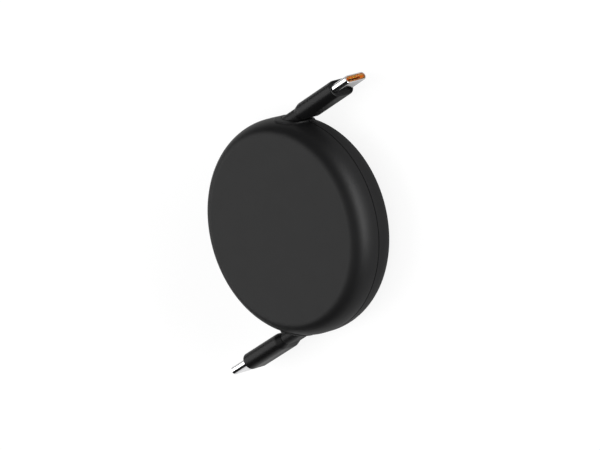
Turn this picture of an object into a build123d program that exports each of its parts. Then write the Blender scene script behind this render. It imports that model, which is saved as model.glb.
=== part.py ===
"""Retractable charging cable: a round reel case with a flat cable that ends in a plug on each side.

The case lies on its rear face. Z is the reel's axis, up through the front face, and the origin is the
middle of the rear face. Plug A leaves the rim towards +X on the +Y side. Plug B is the same plug turned
half a turn about Z. All sizes are millimetres.
"""
import os
from math import acos, cos, radians, sin, sqrt, tan

from build123d import *

# Case: two moulded shells that meet at the rim's middle
case_radius = 32.0
case_height = 15.2
face_radius = 27.5
rim_land = 2.4
wall = 1.6
cavity_round = 3.5
seam_width = 0.36
seam_depth = 0.34
joint_lip = 0.75
joint_lip_height = 1.2
joint_gap = 0.05
rub_rib_width = 1.2
rub_gap = 0.3
hub_ring_radius = 6.2

# Exits: a low collar where each neck leaves the rim at a slant
collar_height = 0.45
collar_wall = 0.8
collar_corner = 4.4
collar_slope = 12.0
collar_blend = 0.5
collar_edge = 0.2
collar_tail = 2.2
collar_forward = 0.6
collar_inward = 0.5
exit_clearance = 0.2

# Cable: flat, both halves wound side by side on one spool
cable_width = 5.0
cable_thickness = 1.7
cable_fit = 0.03
lead_start = 5.0

# Spool
spool_gap = 2.4
flange_rim = 0.45
flange_thickness = 1.0
track_flange = 2.2
winding_gap = 0.1
hub_radius = 13.3
hub_wall = 1.9
cover_step = 0.6
cover_thickness = 0.8
flange_seat = 0.5
part_gap = 0.05
anchor_radius = 1.2
anchor_peg = 0.8
window_count = 5
window_width = 4.0
window_angle = 40.0

# Latch: a ball in a radial slot of the rear shell, running in a track under the spool
ball_gap = 0.15
lane_gap = 0.35
island_width = 1.8
island_angle = 34.0
island_count = 4
track_margin = 6.3
track_depth = 0.95
slot_wall = 1.4

# Axle: a post on the rear shell, with a washer and a screw on its end
post_radius = 3.0
running_gap = 0.05
thrust_radius = 5.5
end_play = 0.2
washer_radius = 5.5
washer_thickness = 0.5
screw_radius = 1.0
screw_length = 7.0
head_radius = 2.4
head_gap = 0.35
recess_length = 2.9
recess_width = 0.55
recess_floor = 0.5

# Power spring: a spiral strip between the post and the hub
spring_turns = 6
spring_thickness = 0.3
spring_start = 0.55
spring_end_gap = 0.5
spring_side_gap = 0.2
slit_width = 0.6
slit_depth = 1.3

# Plugs: strain relief, moulded grip and the standard metal shell
neck_width = 7.9
neck_thickness = 3.75
neck_clearance = 0.4
neck_sink = 1.3
spigot_width = 6.6
spigot_thickness = 2.8
spigot_length = 3.8
grip_width = 9.4
grip_thickness = 5.05
grip_length = 17.5
grip_gap = 0.5
grip_front_round = 0.3
grip_rear_step = 0.6
grip_rear_taper = 2.0
grip_rear_blend = 3.0
dish_inset = 0.45
dish_depth = 0.5
plug_width = 8.25
plug_thickness = 2.4
plug_wall = 0.3
plug_reach = 6.7
plug_seat = 4.0
plug_fit = 0.02
mouth_bevel = 0.1
insulator_setback = 0.3
tongue_width = 6.8
tongue_height = 0.9
tongue_depth = 5.2
contact_count = 12
contact_pitch = 0.5
contact_width = 0.26
contact_height = 0.12
contact_setback = 1.4
latch_thickness = 0.2
latch_height = 0.6
board_width = 7.0
board_thickness = 0.8
board_gap = 0.1
chip_size = 2.6
chip_height = 0.5

# Heights that the parts share
mid = case_height / 2
ceiling = case_height - wall
cable_low = mid - cable_width / 2
cable_high = mid + cable_width / 2
drum_top = cable_low - winding_gap
drum_bottom = drum_top - track_flange
cover_bottom = cable_high + winding_gap
spool_top = cover_bottom + flange_thickness
spring_lid_bottom = spool_top - cover_thickness
post_top = spool_top + end_play
washer_top = post_top + washer_thickness
head_top = ceiling - head_gap
ball_radius = (drum_bottom + track_depth - wall - ball_gap) / 2

# Radii that the parts share
cavity_radius = case_radius - wall
flange_radius = cavity_radius - spool_gap
winding_radius = flange_radius - flange_rim
pull_offset = winding_radius - cable_thickness / 2
cup_radius = hub_radius - hub_wall
lid_radius = cup_radius + cover_step
seat_radius = hub_radius - flange_seat
bore_radius = post_radius + running_gap
lane_width = 2 * ball_radius + lane_gap
track_outer = flange_radius - track_margin
track_inner = track_outer - 2 * lane_width - island_width
anchor_place = hub_radius + winding_gap + cable_thickness + anchor_radius

# Places along the pull line
exit_width = neck_width + 2 * exit_clearance
exit_thickness = neck_thickness + 2 * exit_clearance
collar_radius = case_radius + collar_height
collar_root = case_radius - face_radius
exit_first = acos((pull_offset + exit_thickness / 2) / collar_radius)
exit_last = acos((pull_offset - exit_thickness / 2) / collar_radius)
exit_turn = (exit_first + exit_last) / 2
exit_length = collar_radius * (exit_last - exit_first)
neck_start = sqrt((case_radius - neck_sink) ** 2 - (pull_offset + neck_thickness / 2) ** 2)
grip_rear_low = pull_offset - grip_thickness / 2 + grip_rear_step
collar_reach = sqrt(collar_radius**2 - grip_rear_low**2)
grip_start = collar_reach + grip_gap
grip_end = grip_start + grip_length
plug_start = grip_end - plug_seat
plug_end = grip_end + plug_reach
spigot_end = grip_start + spigot_length
tongue_start = plug_end - insulator_setback - tongue_depth


def tube(inner, outer, low, high):
    """A ring about the reel's axis."""
    return Pos(0, 0, low) * extrude(Circle(outer) - Circle(inner), high - low)


def disc(radius, low, high):
    """A solid disc about the reel's axis."""
    return Pos(0, 0, low) * extrude(Circle(radius), high - low)


def pull_plane(x):
    """A plane across plug A's pull line, with the reel's axis as its first direction."""
    return Plane(origin=(x, pull_offset, mid), x_dir=(0, 0, 1), z_dir=(1, 0, 0))


def bar(section, start, end):
    """A section run along plug A's pull line."""
    return extrude(pull_plane(start) * section, end - start)


def slab(width, thickness, start, end, side=0.0, across=0.0):
    """A rectangular bar on plug A's pull line, shifted along the reel's axis and across the line."""
    return bar(Pos(side, -across) * Rectangle(width, thickness), start, end)


def opposite(shape):
    """The same shape for plug B, half a turn round the reel's axis."""
    return shape.rotate(Axis.Z, 180)


def case_form(grow):
    """The closed outer form of the case, grown outwards by a margin."""
    reach = case_radius - face_radius + grow
    rise = (case_height - rim_land) / 2 + grow
    land_low = mid - rim_land / 2
    land_high = mid + rim_land / 2
    edge = case_radius + grow
    outline = [
        Line((0, -grow), (face_radius, -grow)),
        EllipticalCenterArc((face_radius, land_low), reach, rise, start_angle=270, arc_size=90),
        Line((edge, land_low), (edge, land_high)),
        EllipticalCenterArc((face_radius, land_high), reach, rise, start_angle=0, arc_size=90),
        Line((face_radius, case_height + grow), (0, case_height + grow)),
        Line((0, case_height + grow), (0, -grow)),
    ]
    return revolve(Plane.XZ * make_face(outline), Axis.Z)


def exit_collar():
    """The boss that plug A's exit is cut through, with sloped flanks and a top that sinks to the rear."""
    outward = Vector(sin(exit_turn), cos(exit_turn), 0)
    backward = Vector(-cos(exit_turn), sin(exit_turn), 0)
    root = outward * (case_radius - collar_root) + backward * (collar_tail / 2) + Vector(0, 0, mid)
    height = collar_root + collar_height
    spread = collar_wall + height * tan(radians(collar_slope))
    length = exit_length + collar_tail + 2 * spread
    corner = collar_corner - collar_wall + spread
    section = RectangleRounded(exit_width + 2 * spread, length, corner)
    plane = Plane(origin=root, x_dir=(0, 0, 1), z_dir=outward)
    block = extrude(plane * section, 2 * height, taper=collar_slope)
    limit = Pos(collar_forward, -collar_inward) * case_form(collar_height)
    boss = block & limit
    return fillet(new_edges(block, limit, combined=boss), collar_edge)


def collared_form():
    """The case's outer form with a collar blended into the rim at each exit."""
    body = case_form(0)
    for collar in (exit_collar(), opposite(exit_collar())):
        joined = body + collar
        body = fillet(new_edges(body, collar, combined=joined), collar_blend)
    return body


def seam_groove():
    """The fine groove round the rim where the shells meet."""
    depth = case_radius - seam_depth
    edge = case_radius + seam_depth
    outline = Polyline((depth, mid), (edge, mid - seam_width), (edge, mid + seam_width), close=True)
    return revolve(Plane.XZ * make_face(outline), Axis.Z)


def exit_seats():
    """The slots that the necks seat in, each with a ledge in the wall that stops its neck."""
    seat = bar(SlotOverall(exit_width, exit_thickness), neck_start - part_gap, 2 * case_radius)
    return seat + opposite(seat)


def hollow():
    """The room inside the case, with rounded corners."""
    return fillet(disc(cavity_radius, wall, ceiling).edges(), cavity_round)


def front_shell():
    """The front half, with the joint lip, a rib that steadies the spool and a ring over the axle."""
    shell = collared_form() & disc(2 * case_radius, mid, 2 * case_height)
    shell = shell - seam_groove() - hollow() - exit_seats()
    lip = tube(cavity_radius, cavity_radius + joint_lip, mid - joint_lip_height, mid)
    shell += lip - exit_seats()
    shell += rub_rib(spool_top + rub_gap, ceiling)
    return shell + tube(hub_ring_radius, hub_ring_radius + rub_rib_width, washer_top, ceiling)


def rub_rib(low, high):
    """A ring rib beside the spool's flange."""
    outer = flange_radius - 2 * rub_rib_width
    return tube(outer - rub_rib_width, outer, low, high)


def rear_shell():
    """The rear half, with the axle post, its thrust ring, the ball's slot and a rib under the spool."""
    shell = collared_form() & disc(2 * case_radius, -case_height, mid)
    rebate = disc(cavity_radius + joint_lip + joint_gap, mid - joint_lip_height - joint_gap, mid)
    shell = shell - seam_groove() - hollow() - rebate - exit_seats()
    shell += rub_rib(wall, drum_bottom - rub_gap)
    shell += disc(thrust_radius, wall, drum_bottom - part_gap) + disc(post_radius, wall, post_top)
    shell -= disc(screw_radius + part_gap, post_top - screw_length - end_play, post_top)
    slit = Pos(post_radius, 0, (drum_top + spool_top) / 2)
    shell -= slit * Box(2 * slit_depth, slit_width, spool_top - drum_top)
    return shell + ball_slot()


def ball_slot():
    """The walls of the radial slot that holds the latch ball."""
    travel = lane_width + island_width
    length = travel + 2 * (ball_radius + ball_gap)
    width = 2 * (ball_radius + ball_gap)
    middle = track_inner + lane_width + island_width / 2
    walls = SlotOverall(length + 2 * slot_wall, width + 2 * slot_wall) - SlotOverall(length, width)
    return Pos(middle, 0, wall) * extrude(walls, drum_bottom - rub_gap - wall)


def latch_ball():
    """The steel ball, at rest in the track's outer lane."""
    return Pos(track_outer - lane_width / 2, 0, wall + ball_radius) * Sphere(ball_radius)


def latch_track():
    """The track's hollow: a ring with islands that part its two lanes and catch the ball."""
    middle = track_inner + lane_width + island_width / 2
    lanes = Circle(track_outer) - Circle(track_inner)
    arc = CenterArc((0, 0), middle, -island_angle / 2, island_angle)
    island = SlotArc(arc, island_width)
    island -= Rot(0, 0, island_angle / 2) * Pos(middle, island_width / 2) * Circle(ball_radius)
    for place in PolarLocations(0, island_count):
        lanes -= place * island
    return Pos(0, 0, drum_bottom) * extrude(lanes, track_depth)


def spool_drum():
    """The drum: hub, spring cup, lower flange with the latch track, and the cable's anchor post."""
    drum = disc(flange_radius, drum_bottom, drum_top)
    drum += disc(hub_radius, drum_bottom, spool_top)
    drum -= tube(seat_radius, flange_radius, cover_bottom, spool_top)
    drum -= disc(cup_radius, drum_top, spool_top)
    drum -= disc(lid_radius, spring_lid_bottom, spool_top)
    drum -= disc(bore_radius, drum_bottom, drum_top)
    drum -= latch_track()
    slit = Pos(-cup_radius, 0, (drum_top + spring_lid_bottom) / 2)
    drum -= slit * Box(2 * slit_depth, slit_width, spring_lid_bottom - drum_top)
    anchor = disc(anchor_radius, drum_top, cover_bottom) + disc(anchor_peg, cover_bottom, spool_top)
    return drum + Pos(anchor_place, 0, 0) * anchor


def spool_flange():
    """The upper flange, pressed over the hub, with windows between its spokes."""
    flange = tube(seat_radius + part_gap, flange_radius, cover_bottom, spool_top)
    flange -= Pos(anchor_place, 0, 0) * disc(anchor_peg + part_gap, cover_bottom, spool_top)
    middle = (anchor_place + anchor_radius + winding_radius) / 2
    arc = CenterArc((0, 0), middle, -window_angle / 2, window_angle)
    window = Pos(0, 0, cover_bottom) * extrude(SlotArc(arc, window_width), flange_thickness)
    for place in PolarLocations(0, window_count):
        flange -= place * window
    return flange


def spring_lid():
    """The disc that closes the spring cup and carries the spool's upper end on the post."""
    return tube(bore_radius, lid_radius - part_gap, spring_lid_bottom, spool_top)


def spiral_edge(start, pitch, half_turns):
    """Half-turn arcs of a spiral that opens clockwise, as seen from the front."""
    points = [((-1) ** k * (start + k * pitch / 2), 0) for k in range(half_turns + 1)]
    arcs = []
    for k in range(half_turns):
        centre = (points[k][0] + points[k + 1][0]) / 2
        radius = abs(points[k][0] - points[k + 1][0]) / 2
        arcs.append(ThreePointArc(points[k], (centre, -((-1) ** k) * radius), points[k + 1]))
    return arcs


def power_spring():
    """The spiral spring, hooked into the post at its inner end and into the hub at its outer end."""
    low = drum_top + spring_side_gap
    height = spring_lid_bottom - spring_side_gap - low
    half = spring_thickness / 2
    half_turns = 2 * spring_turns + 1
    start = post_radius + spring_start
    end = cup_radius - spring_end_gap
    pitch = 2 * (end - start) / half_turns
    inner = spiral_edge(start - half, pitch, half_turns)
    outer = spiral_edge(start + half, pitch, half_turns)
    ends = [Line(inner[0] @ 0, outer[0] @ 0), Line(inner[-1] @ 1, outer[-1] @ 1)]
    strip = extrude(make_face(inner + outer + ends), height)
    tang_start = post_radius - slit_depth + half
    tang = Pos((tang_start + start) / 2, 0, height / 2) * Box(start - tang_start, spring_thickness, height)
    hook_end = cup_radius + slit_depth - half
    hook = Pos(-(end + hook_end) / 2, 0, height / 2) * Box(hook_end - end, spring_thickness, height)
    return Pos(0, 0, low) * (strip + tang + hook)


def cable_winding():
    """All turns of the flat cable on the spool, folded round the anchor post at its middle."""
    turns = tube(hub_radius + winding_gap, winding_radius, cable_low, cable_high)
    turns = fillet(turns.edges(), cable_thickness / 4)
    return turns - Pos(anchor_place, 0, 0) * disc(anchor_radius + part_gap, cable_low, cable_high)


def thrust_washer():
    """The washer on the post's end that keeps the spool on."""
    return tube(screw_radius + part_gap, washer_radius, post_top, washer_top)


def axle_screw():
    """The pan-head screw in the post, with a cross recess."""
    head = disc(head_radius, washer_top, head_top)
    head = fillet(head.edges().group_by(Axis.Z)[-1], (head_top - washer_top) / 2)
    screw = head + disc(screw_radius, post_top - screw_length, washer_top)
    recess_depth = head_top - washer_top - recess_floor
    blade = Box(recess_length, recess_width, 2 * recess_depth)
    cross = Pos(0, 0, head_top) * (blade + blade.rotate(Axis.Z, 90))
    return screw - cross


def plug_strain_relief():
    """The soft neck that seats in the exit, with a spigot in the grip and a bore for the cable."""
    neck = bar(SlotOverall(neck_width, neck_thickness), neck_start, grip_start)
    neck += bar(SlotOverall(spigot_width, spigot_thickness), grip_start, spigot_end)
    bore = SlotOverall(cable_width + 2 * cable_fit, cable_thickness + 2 * cable_fit)
    neck -= disc(flange_radius + neck_clearance, 0, case_height)
    return neck - bar(bore, neck_start, spigot_end)


def plug_grip():
    """The moulded grip: a flat oval bar with a tapered rear and a dished front, hollow for its insert."""
    grip = bar(SlotOverall(grip_width, grip_thickness), grip_start, grip_end)
    grip = fillet(grip.edges().group_by(Axis.X)[-1], grip_front_round)
    rear = grip.faces().sort_by(Axis.X)[0]
    grip = chamfer(rear.edges(), grip_rear_step, grip_rear_taper, reference=rear)
    grip = fillet(grip.edges().group_by(Axis.X)[2], grip_rear_blend)
    dish = SlotOverall(grip_width - 2 * dish_inset, grip_thickness - 2 * dish_inset)
    grip -= bar(dish, grip_end - dish_depth, grip_end)
    grip -= bar(SlotOverall(spigot_width, spigot_thickness), grip_start, spigot_end)
    grip -= slab(board_width + 2 * board_gap, plug_thickness, spigot_end, plug_start)
    pocket = SlotOverall(plug_width + 2 * plug_fit, plug_thickness + 2 * plug_fit)
    return grip - bar(pocket, plug_start, grip_end)


def plug_shell():
    """The drawn metal shell, open at its mouth, with a bevelled rim."""
    shell = bar(SlotOverall(plug_width, plug_thickness), plug_start, plug_end)
    shell = chamfer(shell.edges().group_by(Axis.X)[-1], mouth_bevel)
    inside = SlotOverall(plug_width - 2 * plug_wall, plug_thickness - 2 * plug_wall)
    return shell - bar(inside, plug_start, plug_end)


def plug_insulator():
    """The coloured insulator inside the shell, with the slot that takes a socket's tongue."""
    margin = 2 * (plug_wall + plug_fit)
    body = SlotOverall(plug_width - margin, plug_thickness - margin)
    insulator = bar(body, plug_start, plug_end - insulator_setback)
    return insulator - slab(tongue_width, tongue_height, tongue_start, plug_end)


def plug_contacts():
    """Two rows of contact strips on the slot's wide walls."""
    start = tongue_start + 2 * latch_thickness
    end = plug_end - insulator_setback - contact_setback
    across = (tongue_height - contact_height) / 2
    strips = []
    for row in (-1, 1):
        for k in range(contact_count):
            side = (k - (contact_count - 1) / 2) * contact_pitch
            strips.append(slab(contact_width, contact_height, start, end, side, row * across))
    return Compound(children=strips)


def plug_latch():
    """The stamped side latch: a bar at the slot's end with an arm along each narrow wall."""
    end = plug_end - insulator_setback - contact_setback
    latch = slab(tongue_width, latch_height, tongue_start, tongue_start + latch_thickness)
    for row in (-1, 1):
        side = row * (tongue_width - latch_thickness) / 2
        latch += slab(latch_thickness, latch_height, tongue_start, end, side)
    return latch


def plug_board():
    """The small circuit board behind the shell."""
    return slab(board_width, board_thickness, spigot_end + board_gap, plug_start - board_gap)


def plug_chip():
    """The marker chip on the board."""
    middle = (spigot_end + plug_start) / 2
    across = (board_thickness + chip_height) / 2
    return slab(chip_size, chip_height, middle - chip_size / 2, middle + chip_size / 2, 0, across)


def cable_lead():
    """The cable's straight run from the winding, through the neck and up to the board."""
    lead = bar(SlotOverall(cable_width, cable_thickness), lead_start, spigot_end)
    return lead - disc(winding_radius + part_gap, 0, case_height)


reel_pieces = {
    "front_shell": front_shell,
    "rear_shell": rear_shell,
    "axle_screw": axle_screw,
    "thrust_washer": thrust_washer,
    "latch_ball": latch_ball,
    "spool_drum": spool_drum,
    "spool_flange": spool_flange,
    "spring_lid": spring_lid,
    "power_spring": power_spring,
    "cable_winding": cable_winding,
}
plug_pieces = {
    "strain_relief": plug_strain_relief,
    "grip": plug_grip,
    "metal_shell": plug_shell,
    "insulator": plug_insulator,
    "contacts": plug_contacts,
    "side_latch": plug_latch,
    "board": plug_board,
    "marker_chip": plug_chip,
    "cable_lead": cable_lead,
}

os.makedirs("parts", exist_ok=True)
for name, make in reel_pieces.items():
    export_step(make(), f"parts/{name}.step")
for name, make in plug_pieces.items():
    piece = make()
    export_step(piece, f"parts/plug_a_{name}.step")
    export_step(opposite(piece), f"parts/plug_b_{name}.step")
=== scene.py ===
"""Looks, studio and camera for a retractable charging cable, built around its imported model."""
import math

import bmesh
import bpy
from mathutils import Matrix, Vector


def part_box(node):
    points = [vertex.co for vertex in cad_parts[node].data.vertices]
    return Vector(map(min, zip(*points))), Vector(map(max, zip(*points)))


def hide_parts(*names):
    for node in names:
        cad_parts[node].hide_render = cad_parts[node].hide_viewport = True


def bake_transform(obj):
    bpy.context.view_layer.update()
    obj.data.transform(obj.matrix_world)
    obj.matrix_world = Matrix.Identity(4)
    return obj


bl_info = {
    "name": "Retractable Charging Cable",
    "version": (1, 0, 0),
    "blender": (4, 5, 0),
    "location": "View3D > Sidebar > Charging Cable",
    "description": "Gives the reel, its plugs and its cable their finishes and sets up the studio",
    "category": "Object",
}

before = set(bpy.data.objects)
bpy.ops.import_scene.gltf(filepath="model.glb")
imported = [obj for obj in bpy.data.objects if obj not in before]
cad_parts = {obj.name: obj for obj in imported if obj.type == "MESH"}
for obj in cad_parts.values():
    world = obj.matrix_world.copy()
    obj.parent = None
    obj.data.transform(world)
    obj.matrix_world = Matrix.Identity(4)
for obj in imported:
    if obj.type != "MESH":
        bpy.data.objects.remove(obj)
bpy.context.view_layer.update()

MILLIMETRE = 0.001
SIDES = ("a", "b")

# Each softbox: azimuth and elevation in degrees, then width and height as shares of its distance.
LAMP_DISTANCE = 3.0
BACK_SOFTBOX = ((158, 40), (0.83, 0.89))
FRONT_SOFTBOX = ((-14, 8.5), (1.56, 0.356))
CEILING_SOFTBOX = ((225, 80), (1.0, 1.0))
SURROUNDINGS_LEVEL = 0.02
FLOOR_REACH = 8.0
FLOOR_GAP = 0.05 * MILLIMETRE

# The way from the aim to the camera, the picture's upright, and the aim's place beside the case's middle.
CAMERA_BACK = Vector((0.6945, -0.1586, 0.7018))
CAMERA_UP = Vector((0.3956, 0.8986, -0.1886))
AIM_RIGHT = 0.70 * MILLIMETRE
AIM_UP = 0.09 * MILLIMETRE
SENSOR_WIDTH = 36.0

# A wave texture's phase per metre at a scale of 1, and the range that most of a noise lies in.
WAVE_RATE = 20.0
NOISE_LOW = 0.3
NOISE_HIGH = 0.7

# Cloudiness of a moulding: its size in grains, how much lighter it gets, and the spread of its gloss.
CLOUD_GRAINS = 40
CLOUD_TINT = 1.12
CLOUD_GLOSS = 0.008
MATT_SPECULAR = 0.14

# Lines of a drawn metal: how much lighter and rougher they get, and how deep they are.
LINE_TINT = 1.06
LINE_ROUGHNESS = 1.6
LINE_DEPTH = 0.002 * MILLIMETRE

# The cable: pitch of its turns on the spool, and the strip's rounded edges and cuts along its length.
TURN_PITCH = 1.7 * MILLIMETRE
RIB_DEPTH = 0.04 * MILLIMETRE
EDGE_SHARE = 0.49
EDGE_SEGMENTS = 6
LENGTH_CUTS = 120

case_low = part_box("rear_shell")[0]
case_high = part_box("front_shell")[1]
case_centre = Vector((0.0, 0.0, (case_low.z + case_high.z) / 2))


class CaseSettings(bpy.types.PropertyGroup):
    """The moulded case."""

    colour: bpy.props.FloatVectorProperty(
        name="Case colour",
        description="Colour of the soft-touch plastic",
        subtype="COLOR",
        default=(0.0045, 0.0045, 0.0047),
    )
    roughness: bpy.props.FloatProperty(
        name="Roughness",
        description="How matt the soft-touch plastic is",
        subtype="FACTOR",
        default=0.49,
    )
    grain: bpy.props.FloatProperty(
        name="Grain",
        description="Width of the spark-eroded grain in the mould",
        unit="LENGTH",
        default=0.12 * MILLIMETRE,
    )


class PlugSettings(bpy.types.PropertyGroup):
    """The plugs at the cable's ends."""

    grip_colour: bpy.props.FloatVectorProperty(
        name="Grip colour",
        description="Colour of the moulded grips",
        subtype="COLOR",
        default=(0.0038, 0.0038, 0.004),
    )
    neck_colour: bpy.props.FloatVectorProperty(
        name="Neck colour",
        description="Colour of the soft necks",
        subtype="COLOR",
        default=(0.005, 0.005, 0.0052),
    )
    metal_colour: bpy.props.FloatVectorProperty(
        name="Metal colour",
        description="Colour of the plated shells",
        subtype="COLOR",
        default=(0.56, 0.56, 0.57),
    )
    # The insulators' colour on their front faces, kept dark there as painted shade.
    insulator_colour: bpy.props.FloatVectorProperty(
        name="Insulator colour",
        description="Colour of the insulators in the mouths",
        subtype="COLOR",
        default=(0.18, 0.070, 0.012),
    )
    # Painted light: deep in the slot the insulator's colour is multiplied by this, standing in for light
    # bouncing inside the mouth.
    slot_painted_light: bpy.props.FloatProperty(
        name="Slot lift",
        description="How much brighter the insulator's polymer is in its slot than on its front face",
        default=4.2,
    )


class CableSettings(bpy.types.PropertyGroup):
    """The flat cable."""

    colour: bpy.props.FloatVectorProperty(
        name="Jacket colour",
        description="Colour of the cable's jacket",
        subtype="COLOR",
        default=(0.014, 0.014, 0.0145),
    )
    rib_pitch: bpy.props.FloatProperty(
        name="Rib pitch",
        description="Distance between the fine ribs along the jacket",
        unit="LENGTH",
        default=0.5 * MILLIMETRE,
    )


class StageSettings(bpy.types.PropertyGroup):
    """The studio and the camera."""

    distance: bpy.props.FloatProperty(
        name="Camera distance",
        description="From the camera to the middle of the case",
        unit="LENGTH",
        default=1.70,
    )
    lens: bpy.props.FloatProperty(
        name="Lens",
        description="Focal length in millimetres on a 36 mm sensor",
        default=353.0,
    )
    floor_colour: bpy.props.FloatVectorProperty(
        name="Floor colour",
        description="Colour of the seamless floor",
        subtype="COLOR",
        default=(0.20, 0.20, 0.20),
    )
    floor_glow: bpy.props.FloatProperty(
        name="Floor glow",
        description="How much the floor is lifted towards white where it is seen",
        default=0.84,
    )
    shadow_reach: bpy.props.FloatProperty(
        name="Shadow reach",
        description="How far the object's contact shadow reaches in the mirrored floor",
        unit="LENGTH",
        default=40 * MILLIMETRE,
    )
    shadow_depth: bpy.props.FloatProperty(
        name="Shadow depth",
        description="How dark the contact shadow is in the mirrored floor",
        default=1.5,
    )
    back_level: bpy.props.FloatProperty(
        name="Back softbox",
        description="Brightness of the softbox behind the case",
        default=3.22,
    )
    front_level: bpy.props.FloatProperty(
        name="Front softbox",
        description="Brightness of the long, low softbox in front of the case",
        default=17.3,
    )
    ceiling_level: bpy.props.FloatProperty(
        name="Ceiling softbox",
        description="Brightness of the softbox above the case",
        default=1.2,
    )


def add_node(tree, kind, **settings):
    """A shader node with some of its own settings."""
    node = tree.nodes.new("ShaderNode" + kind)
    for key, value in settings.items():
        setattr(node, key, value)
    return node


def new_material(name):
    """A material, its node tree and its main shader."""
    material = bpy.data.materials.new(name)
    material.use_nodes = True
    return material, material.node_tree, material.node_tree.nodes["Principled BSDF"]


def surface_points(tree, stretch=(1.0, 1.0, 1.0)):
    """The piece's own coordinates, stretched where a pattern runs along an axis."""
    coordinates = add_node(tree, "TexCoord")
    mapping = add_node(tree, "Mapping")
    mapping.inputs["Scale"].default_value = stretch
    tree.links.new(coordinates.outputs["Object"], mapping.inputs["Vector"])
    return mapping.outputs["Vector"]


def grain(tree, points, size, detail=2.0):
    """A noise pattern with grains of one size."""
    noise = add_node(tree, "TexNoise")
    noise.inputs["Scale"].default_value = 1.0 / size
    noise.inputs["Detail"].default_value = detail
    tree.links.new(points, noise.inputs["Vector"])
    return noise.outputs["Fac"]


def spread(tree, factor, low, high):
    """A pattern's value spread over a range."""
    span = add_node(tree, "MapRange")
    span.inputs["From Min"].default_value = NOISE_LOW
    span.inputs["From Max"].default_value = NOISE_HIGH
    span.inputs["To Min"].default_value = low
    span.inputs["To Max"].default_value = high
    tree.links.new(factor, span.inputs["Value"])
    return span.outputs["Result"]


def tint(tree, factor, colour, lift):
    """A colour that a pattern makes a little lighter in places."""
    mix = add_node(tree, "Mix", data_type="RGBA")
    mix.inputs["A"].default_value = (*colour, 1.0)
    mix.inputs["B"].default_value = (*[min(1.0, c * lift) for c in colour], 1.0)
    tree.links.new(factor, mix.inputs["Factor"])
    return mix.outputs["Result"]


def calculate(tree, operation, first, second):
    """The result of one sum on two values, each a socket or a number."""
    node = add_node(tree, "Math", operation=operation)
    for socket, value in zip(node.inputs, (first, second)):
        if isinstance(value, float):
            socket.default_value = value
        else:
            tree.links.new(value, socket)
    return node.outputs["Value"]


def emboss(tree, shader, height, depth):
    """Relief of a given depth from a pattern."""
    bump = add_node(tree, "Bump")
    bump.inputs["Strength"].default_value = 1.0
    bump.inputs["Distance"].default_value = depth
    tree.links.new(height, bump.inputs["Height"])
    tree.links.new(bump.outputs["Normal"], shader.inputs["Normal"])


def moulded(name, colour, roughness, grain_size, depth, specular=MATT_SPECULAR):
    """A moulded plastic or rubber with a fine grain and faint cloudiness."""
    material, tree, shader = new_material(name)
    points = surface_points(tree)
    fine = grain(tree, points, grain_size)
    cloud = grain(tree, points, CLOUD_GRAINS * grain_size)
    tree.links.new(tint(tree, cloud, colour, CLOUD_TINT), shader.inputs["Base Color"])
    gloss = spread(tree, cloud, roughness - CLOUD_GLOSS, roughness + CLOUD_GLOSS)
    tree.links.new(gloss, shader.inputs["Roughness"])
    shader.inputs["Specular IOR Level"].default_value = specular
    emboss(tree, shader, fine, depth)
    return material


def drawn_metal(name, colour, roughness, line, stretch):
    """A metal with fine lines along the way that it was drawn or rolled."""
    material, tree, shader = new_material(name)
    lines = grain(tree, surface_points(tree, stretch), line)
    tree.links.new(tint(tree, lines, colour, LINE_TINT), shader.inputs["Base Color"])
    gloss = spread(tree, lines, roughness, LINE_ROUGHNESS * roughness)
    tree.links.new(gloss, shader.inputs["Roughness"])
    shader.inputs["Metallic"].default_value = 1.0
    emboss(tree, shader, lines, LINE_DEPTH)
    return material


def ribbed_jacket(name, settings, turn_pitch=None):
    """The cable's jacket, with fine ribs along it or, on the spool, the edges of its turns."""
    material, tree, shader = new_material(name)
    points = surface_points(tree)
    if turn_pitch:
        ribs = add_node(tree, "TexWave", wave_type="RINGS", rings_direction="Z")
    else:
        ribs = add_node(tree, "TexWave", wave_type="BANDS", bands_direction="Z")
    pitch = turn_pitch or settings.rib_pitch
    ribs.inputs["Scale"].default_value = math.tau / (WAVE_RATE * pitch)
    tree.links.new(points, ribs.inputs["Vector"])
    cloud = grain(tree, points, size=2 * MILLIMETRE)
    tree.links.new(tint(tree, cloud, settings.colour, lift=1.3), shader.inputs["Base Color"])
    tree.links.new(spread(tree, cloud, low=0.5, high=0.6), shader.inputs["Roughness"])
    shader.inputs["Specular IOR Level"].default_value = 0.3
    emboss(tree, shader, ribs.outputs["Fac"], RIB_DEPTH)
    return material


def amber_polymer(settings):
    """The insulators' translucent polymer, its colour darkened on the front face as painted shade and
    lifted deep in the slot as painted light.
    """
    material, tree, shader = new_material("amber_polymer")
    points = surface_points(tree)
    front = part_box("plug_a_insulator")[1].x
    # Painted shade and light: the colour stays dark on the front face and is lifted deep in the slot,
    # where light bounces.
    painted_shade_until = front - 0.02 * MILLIMETRE
    painted_light_from = front - 0.20 * MILLIMETRE
    split = add_node(tree, "SeparateXYZ")
    tree.links.new(points, split.inputs["Vector"])
    depth = add_node(tree, "MapRange")
    depth.inputs["From Min"].default_value = painted_shade_until
    depth.inputs["From Max"].default_value = painted_light_from
    tree.links.new(calculate(tree, "ABSOLUTE", split.outputs["X"], 0.0), depth.inputs["Value"])
    # Painted light in the slot over painted shade on the front face.
    clear = tint(tree, depth.outputs["Result"], settings.insulator_colour, settings.slot_painted_light)
    tree.links.new(clear, shader.inputs["Base Color"])
    haze = grain(tree, points, size=0.10 * MILLIMETRE)
    tree.links.new(spread(tree, haze, low=0.35, high=0.45), shader.inputs["Roughness"])
    shader.inputs["Specular IOR Level"].default_value = 0.3
    shader.inputs["Subsurface Weight"].default_value = 0.6
    shader.inputs["Subsurface Radius"].default_value = (1.0, 0.3, 0.06)
    shader.inputs["Subsurface Scale"].default_value = 0.8 * MILLIMETRE
    emboss(tree, shader, haze, depth=0.002 * MILLIMETRE)
    return material


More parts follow.
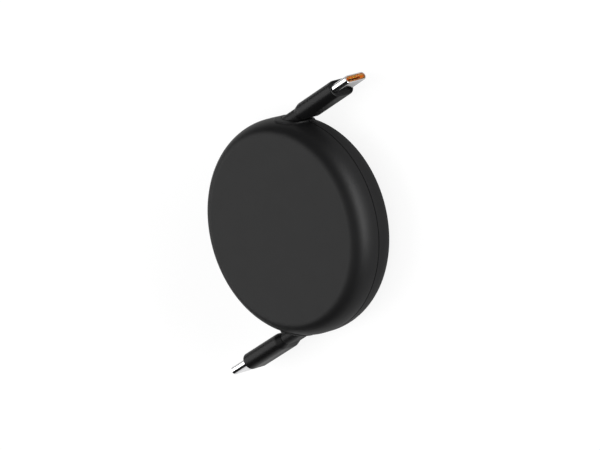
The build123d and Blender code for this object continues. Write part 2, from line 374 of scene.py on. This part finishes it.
def board_laminate():
    """Green lacquer over rows of copper tracks."""
    material, tree, shader = new_material("board_laminate")
    points = surface_points(tree)
    tracks = add_node(tree, "TexBrick")
    tracks.inputs["Scale"].default_value = 400.0
    tracks.inputs["Color1"].default_value = (0.010, 0.090, 0.028, 1.0)
    tracks.inputs["Color2"].default_value = (0.014, 0.120, 0.036, 1.0)
    tracks.inputs["Mortar"].default_value = (0.006, 0.055, 0.018, 1.0)
    tree.links.new(points, tracks.inputs["Vector"])
    tree.links.new(tracks.outputs["Color"], shader.inputs["Base Color"])
    lacquer = grain(tree, points, size=0.3 * MILLIMETRE)
    tree.links.new(spread(tree, lacquer, low=0.25, high=0.35), shader.inputs["Roughness"])
    emboss(tree, shader, tracks.outputs["Fac"], depth=0.02 * MILLIMETRE)
    return material


def paint(material, *nodes):
    """Gives CAD nodes a finish."""
    for name in nodes:
        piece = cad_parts[name]
        piece.data.materials.clear()
        piece.data.materials.append(material)


def plug_nodes(piece):
    """The nodes of one piece on both plugs."""
    return [f"plug_{side}_{piece}" for side in SIDES]


def edges_along(shape, length):
    """A strip's edges that run along X."""
    return [e for e in shape.edges if abs((e.verts[0].co - e.verts[1].co).x) > length / 2]


class REEL_OT_dress_case(bpy.types.Operator):
    """Gives the case's two shells their soft-touch finish"""

    bl_idname = "reel.dress_case"
    bl_label = "Dress the case"

    def execute(self, context):
        settings = context.scene.reel_case
        plastic = moulded(
            "soft_touch_black",
            settings.colour,
            settings.roughness,
            settings.grain,
            depth=0.004 * MILLIMETRE,
        )
        paint(plastic, "front_shell", "rear_shell")
        return {"FINISHED"}


class REEL_OT_dress_plugs(bpy.types.Operator):
    """Gives the necks, grips, metal shells, insulators and contacts their finishes"""

    bl_idname = "reel.dress_plugs"
    bl_label = "Dress the plugs"

    def execute(self, context):
        settings = context.scene.reel_plugs
        grip = moulded(
            "satin_black",
            settings.grip_colour,
            roughness=0.38,
            grain_size=0.10 * MILLIMETRE,
            depth=0.003 * MILLIMETRE,
            specular=0.125,
        )
        neck = moulded(
            "neck_rubber",
            settings.neck_colour,
            roughness=0.5,
            grain_size=0.15 * MILLIMETRE,
            depth=0.004 * MILLIMETRE,
        )
        plating = drawn_metal(
            "bright_plating",
            settings.metal_colour,
            roughness=0.06,
            line=0.05 * MILLIMETRE,
            stretch=(0.05, 1.0, 1.0),
        )
        gold = drawn_metal(
            "gold_flash",
            colour=(0.83, 0.58, 0.22),
            roughness=0.18,
            line=0.04 * MILLIMETRE,
            stretch=(0.1, 1.0, 1.0),
        )
        paint(grip, *plug_nodes("grip"))
        paint(neck, *plug_nodes("strain_relief"))
        paint(amber_polymer(settings), *plug_nodes("insulator"))
        paint(plating, *plug_nodes("metal_shell"))
        paint(gold, *plug_nodes("contacts"))
        return {"FINISHED"}


class REEL_OT_dress_mechanism(bpy.types.Operator):
    """Gives the spool, spring, latch, axle and boards their finishes"""

    bl_idname = "reel.dress_mechanism"
    bl_label = "Dress the mechanism"

    def execute(self, context):
        natural = moulded(
            "natural_plastic",
            colour=(0.60, 0.59, 0.55),
            roughness=0.45,
            grain_size=0.2 * MILLIMETRE,
            depth=0.004 * MILLIMETRE,
            specular=0.5,
        )
        steel = drawn_metal(
            "rolled_steel",
            colour=(0.52, 0.53, 0.55),
            roughness=0.22,
            line=0.08 * MILLIMETRE,
            stretch=(1.0, 1.0, 0.05),
        )
        zinc = drawn_metal(
            "zinc_plating",
            colour=(0.62, 0.63, 0.65),
            roughness=0.28,
            line=0.06 * MILLIMETRE,
            stretch=(1.0, 1.0, 1.0),
        )
        chip = moulded(
            "chip_plastic",
            colour=(0.010, 0.010, 0.011),
            roughness=0.5,
            grain_size=0.06 * MILLIMETRE,
            depth=0.003 * MILLIMETRE,
        )
        paint(natural, "spool_drum", "spool_flange", "spring_lid")
        paint(steel, "power_spring", *plug_nodes("side_latch"))
        paint(zinc, "axle_screw", "thrust_washer", "latch_ball")
        paint(board_laminate(), *plug_nodes("board"))
        paint(chip, *plug_nodes("marker_chip"))
        return {"FINISHED"}


class REEL_OT_lay_cable(bpy.types.Operator):
    """Lays the flat cable from the spool to each plug as a strip in place of its cable lead"""

    bl_idname = "reel.lay_cable"
    bl_label = "Lay the cable"

    def execute(self, context):
        settings = context.scene.reel_cable
        jacket = ribbed_jacket("cable_jacket", settings)
        paint(jacket, *plug_nodes("cable_lead"))
        paint(ribbed_jacket("wound_jacket", settings, TURN_PITCH), "cable_winding")
        for side in SIDES:
            self.lay_lead(context, side, jacket)
        return {"FINISHED"}

    def lay_lead(self, context, side, jacket):
        """One end of the cable: a flat strip with round edges."""
        node = f"plug_{side}_cable_lead"
        low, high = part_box(node)
        middle = (low + high) / 2
        size = high - low
        shape = bmesh.new()
        place = Matrix.Translation(middle) @ Matrix.Diagonal((*size, 1.0))
        bmesh.ops.create_cube(shape, size=1.0, matrix=place)
        bmesh.ops.bevel(
            shape,
            geom=edges_along(shape, size.x),
            offset=size.y * EDGE_SHARE,
            affect="EDGES",
            segments=EDGE_SEGMENTS,
            profile=0.5,
            material=-1,
        )
        along = edges_along(shape, size.x)
        bmesh.ops.subdivide_edges(shape, edges=along, cuts=LENGTH_CUTS, use_grid_fill=True)
        bmesh.ops.recalc_face_normals(shape, faces=shape.faces)
        mesh = bpy.data.meshes.new(f"drawn_cable_{side}")
        shape.to_mesh(mesh)
        shape.free()
        mesh.materials.append(jacket)
        mesh.shade_smooth()
        strip = bpy.data.objects.new(mesh.name, mesh)
        context.scene.collection.objects.link(strip)
        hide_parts(node)
        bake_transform(strip)


class REEL_OT_build_stage(bpy.types.Operator):
    """Makes the floor, the lamps, the surroundings and the camera"""

    bl_idname = "reel.build_stage"
    bl_label = "Build the stage"

    def execute(self, context):
        settings = context.scene.reel_stage
        self.lay_floor(context, settings)
        self.light_world(context)
        self.hang_lamp(context, "back_softbox", *BACK_SOFTBOX, settings.back_level)
        self.hang_lamp(context, "front_softbox", *FRONT_SOFTBOX, settings.front_level)
        self.hang_lamp(context, "ceiling_softbox", *CEILING_SOFTBOX, settings.ceiling_level)
        self.aim_camera(context, settings)
        context.scene.view_settings.view_transform = "Standard"
        return {"FINISHED"}

    def lay_floor(self, context, settings):
        """A wide floor that shows white and takes the object's shadow."""
        shape = bmesh.new()
        bmesh.ops.create_grid(shape, x_segments=1, y_segments=1, size=FLOOR_REACH)
        mesh = bpy.data.meshes.new("floor")
        shape.to_mesh(mesh)
        shape.free()
        floor = bpy.data.objects.new("floor", mesh)
        floor.location.z = case_low.z - FLOOR_GAP
        context.scene.collection.objects.link(floor)
        material, tree, shader = new_material("seamless_floor")
        shader.inputs["Base Color"].default_value = (*settings.floor_colour, 1.0)
        shader.inputs["Roughness"].default_value = 0.9
        shader.inputs["Specular IOR Level"].default_value = 0.0
        path = add_node(tree, "LightPath").outputs
        contact = add_node(tree, "AmbientOcclusion", samples=8)
        contact.inputs["Distance"].default_value = settings.shadow_reach
        mirrored = calculate(tree, "MAXIMUM", path["Is Glossy Ray"], path["Is Transmission Ray"])
        shade = calculate(tree, "POWER", contact.outputs["AO"], settings.shadow_depth)
        shaded = calculate(tree, "MULTIPLY", mirrored, shade)
        seen = calculate(tree, "MAXIMUM", path["Is Camera Ray"], shaded)
        glow = calculate(tree, "MULTIPLY", seen, settings.floor_glow)
        shader.inputs["Emission Color"].default_value = (1.0, 1.0, 1.0, 1.0)
        tree.links.new(glow, shader.inputs["Emission Strength"])
        mesh.materials.append(material)

    def light_world(self, context):
        """Even, dim surroundings."""
        world = bpy.data.worlds.new("surroundings")
        world.use_nodes = True
        background = world.node_tree.nodes["Background"]
        background.inputs["Color"].default_value = (1.0, 1.0, 1.0, 1.0)
        background.inputs["Strength"].default_value = SURROUNDINGS_LEVEL
        context.scene.world = world

    def hang_lamp(self, context, name, place, size, level):
        """A softbox that faces the case."""
        azimuth, elevation = (math.radians(angle) for angle in place)
        around = Vector((math.cos(azimuth), math.sin(azimuth), math.tan(elevation))).normalized()
        light = bpy.data.lights.new(name, "AREA")
        light.shape = "RECTANGLE"
        light.size, light.size_y = (share * LAMP_DISTANCE for share in size)
        light.energy = level * math.pi * light.size * light.size_y
        lamp = bpy.data.objects.new(name, light)
        lamp.location = case_centre + around * LAMP_DISTANCE
        lamp.rotation_mode = "QUATERNION"
        lamp.rotation_quaternion = (-around).to_track_quat("-Z", "Y")
        context.scene.collection.objects.link(lamp)

    def aim_camera(self, context, settings):
        """The camera above the case's front right, rolled as in the photograph."""
        back = CAMERA_BACK.normalized()
        right = CAMERA_UP.cross(back).normalized()
        up = back.cross(right)
        camera = bpy.data.objects.new("camera", bpy.data.cameras.new("camera"))
        camera.data.lens = settings.lens
        camera.data.sensor_width = SENSOR_WIDTH
        camera.data.clip_start = 0.01
        aim = case_centre + right * AIM_RIGHT + up * AIM_UP
        place = aim + back * settings.distance
        turn = Matrix((right, up, back)).transposed()
        camera.matrix_world = Matrix.Translation(place) @ turn.to_4x4()
        context.scene.collection.objects.link(camera)
        context.scene.camera = camera


class REEL_PT_panel(bpy.types.Panel):
    """The steps that build the charging cable's looks"""

    bl_label = "Charging Cable"
    bl_idname = "REEL_PT_panel"
    bl_space_type = "VIEW_3D"
    bl_region_type = "UI"
    bl_category = "Charging Cable"

    def draw(self, context):
        for operator in OPERATORS:
            self.layout.operator(operator.bl_idname)
        for name, group in SETTINGS.items():
            box = self.layout.box()
            for setting in group.__annotations__:
                box.prop(getattr(context.scene, name), setting)


SETTINGS = {
    "reel_case": CaseSettings,
    "reel_plugs": PlugSettings,
    "reel_cable": CableSettings,
    "reel_stage": StageSettings,
}
OPERATORS = (
    REEL_OT_build_stage,
    REEL_OT_dress_case,
    REEL_OT_dress_plugs,
    REEL_OT_dress_mechanism,
    REEL_OT_lay_cable,
)


def register():
    for name, group in SETTINGS.items():
        bpy.utils.register_class(group)
        setattr(bpy.types.Scene, name, bpy.props.PointerProperty(type=group))
    for cls in (*OPERATORS, REEL_PT_panel):
        bpy.utils.register_class(cls)


def unregister():
    for cls in (REEL_PT_panel, *reversed(OPERATORS)):
        bpy.utils.unregister_class(cls)
    for name, group in SETTINGS.items():
        delattr(bpy.types.Scene, name)
        bpy.utils.unregister_class(group)


def main():
    register()
    bpy.ops.reel.build_stage()
    bpy.ops.reel.dress_case()
    bpy.ops.reel.dress_plugs()
    bpy.ops.reel.dress_mechanism()
    bpy.ops.reel.lay_cable()


if __name__ == "__main__":
    main()
